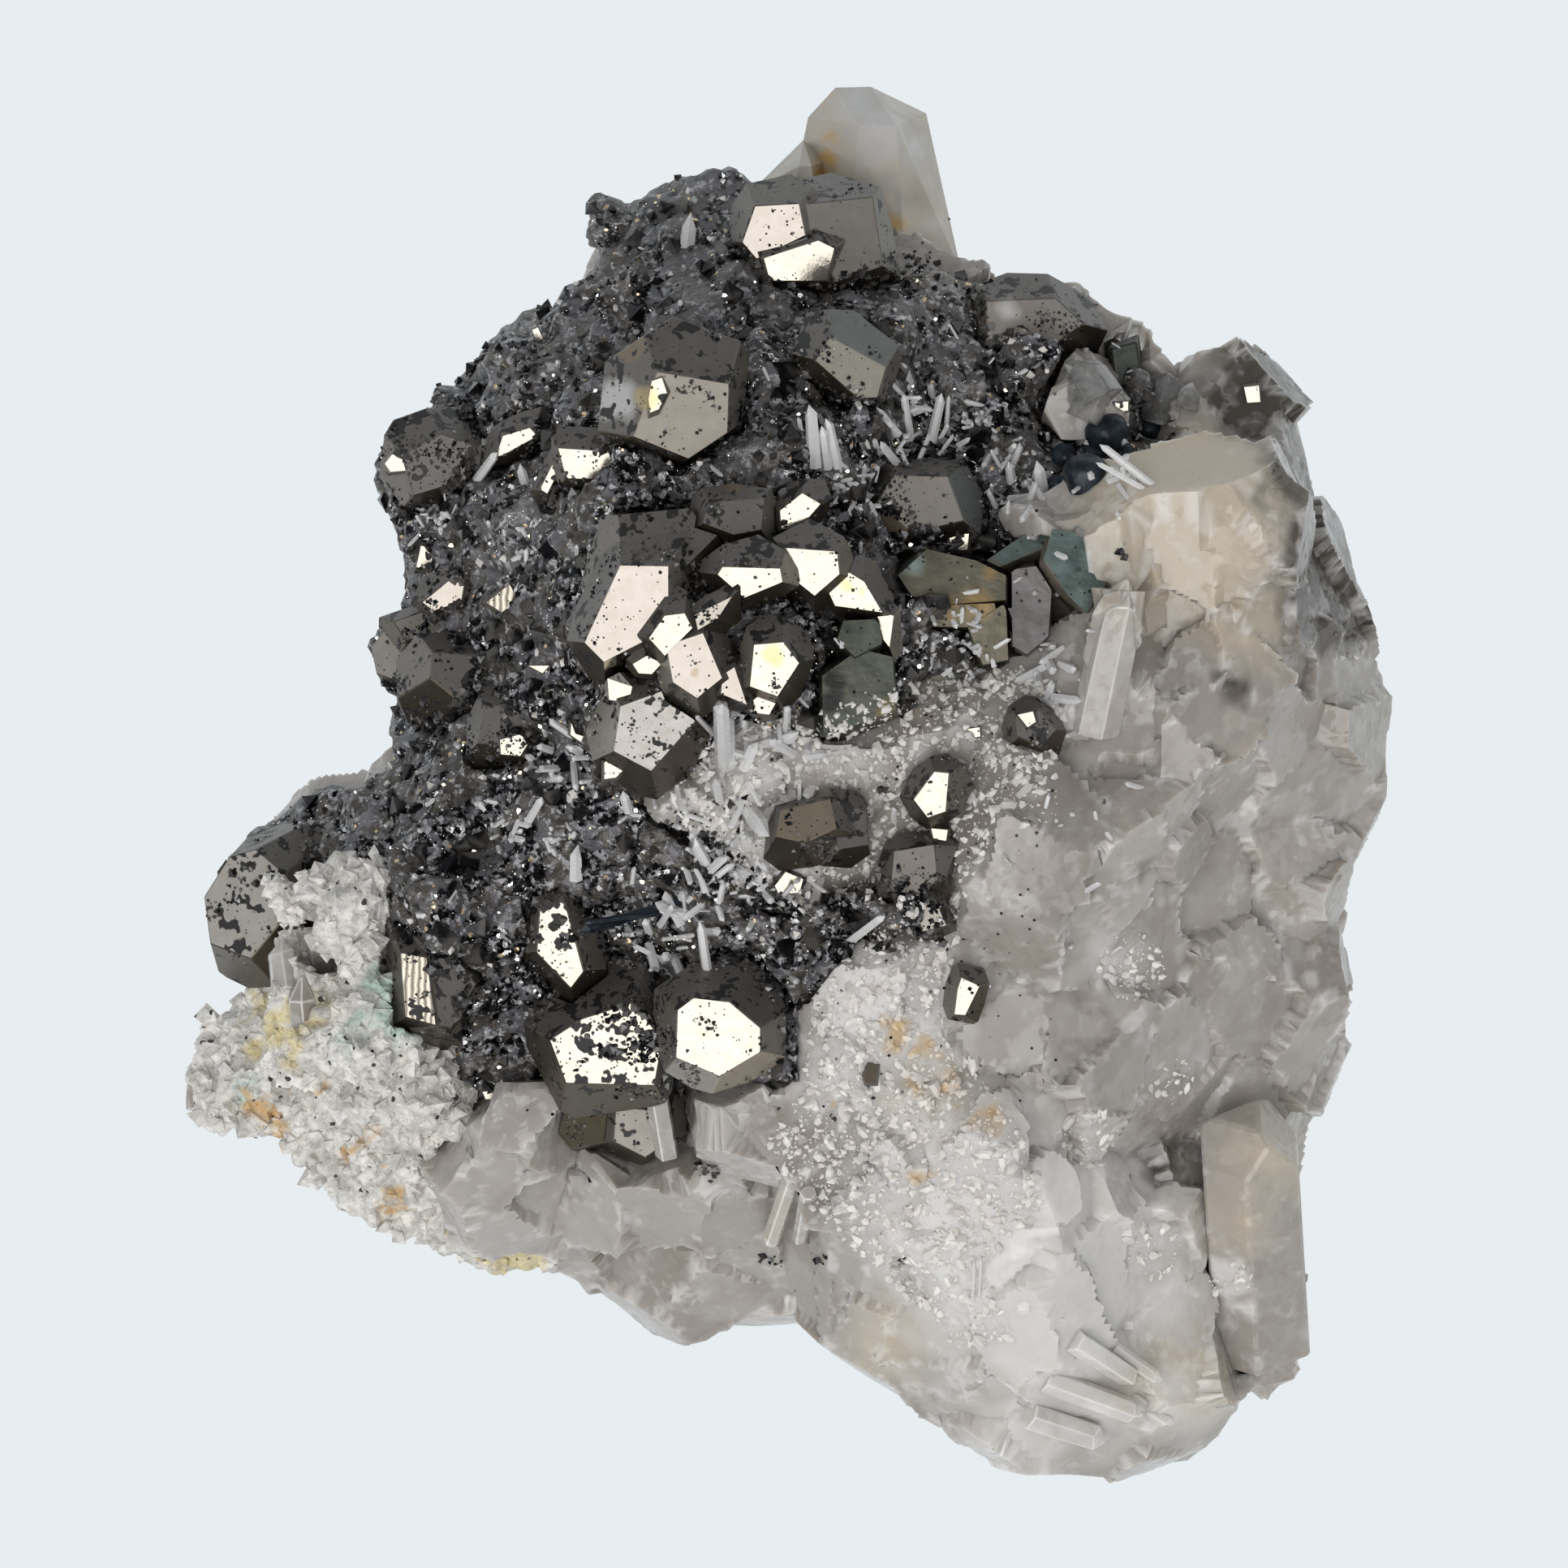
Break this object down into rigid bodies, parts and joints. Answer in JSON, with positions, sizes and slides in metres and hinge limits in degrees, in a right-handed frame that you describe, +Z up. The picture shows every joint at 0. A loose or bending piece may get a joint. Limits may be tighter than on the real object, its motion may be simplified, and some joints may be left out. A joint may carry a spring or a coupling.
{
  "type": "pyrite on quartz specimen",
  "caption": "Mineral specimen of milky quartz with a dark sulfide crust, brassy pyrite crystals set in it and a lump of altered rock, lying on its broken back.",
  "frame": {"origin": "middle of the bounding box at the level of the flat broken back that the specimen lies on", "axes": "+Z up out of the crystal-covered face, which the picture looks straight down on; +Y towards the clear quartz point at the picture's top; +X to the picture's right"},
  "size_m": [0.082, 0.0957, 0.0464],
  "materials": {
    "milky_quartz": "milky, translucent, glassy faces",
    "clear_quartz": "clear to cloudy, glassy faces",
    "dark_sulfide": "fine-grained, sparkling",
    "altered_rock": "crumbly, matte",
    "pyrite": "mirror-like faces with fine pits",
    "tarnished_pyrite": "dull, tarnished olive and blue-green"
  },
  "bodies": {
    "root": {"altered_rock": "altered_rock", "dark_sulfide_crust": "dark_sulfide", "green_bar": "tarnished_pyrite", "grey_block": "tarnished_pyrite", "pyrite_arm_end": "pyrite", "pyrite_cluster": "pyrite", "pyrite_druse_bright": "pyrite", "pyrite_druse_dark": "pyrite", "pyrite_druse_grey": "pyrite", "pyrite_druse_small": "pyrite", "pyrite_grey": "pyrite", "pyrite_left_bright": "pyrite", "pyrite_left_dark": "pyrite", "pyrite_left_edge": "pyrite", "pyrite_left_flat": "pyrite", "pyrite_left_low": "pyrite", "pyrite_left_pink": "pyrite", "pyrite_left_small": "pyrite", "pyrite_low_left": "pyrite", "pyrite_low_right": "pyrite", "pyrite_middle_dark": "pyrite", "pyrite_middle_small": "pyrite", "pyrite_right_of_middle": "pyrite", "pyrite_right_small": "pyrite", "pyrite_streaked": "pyrite", "pyrite_striped": "pyrite", "pyrite_top": "pyrite", "pyrite_upper_large": "pyrite", "pyrite_upper_middle": "pyrite", "pyrite_upper_right": "pyrite", "quartz_mass": "milky_quartz", "quartz_point_top": "clear_quartz", "quartz_prism_right": "clear_quartz", "tarnished_block": "tarnished_pyrite", "tarnished_green": "tarnished_pyrite", "tarnished_plate": "tarnished_pyrite"}
  },
  "joints": []
}
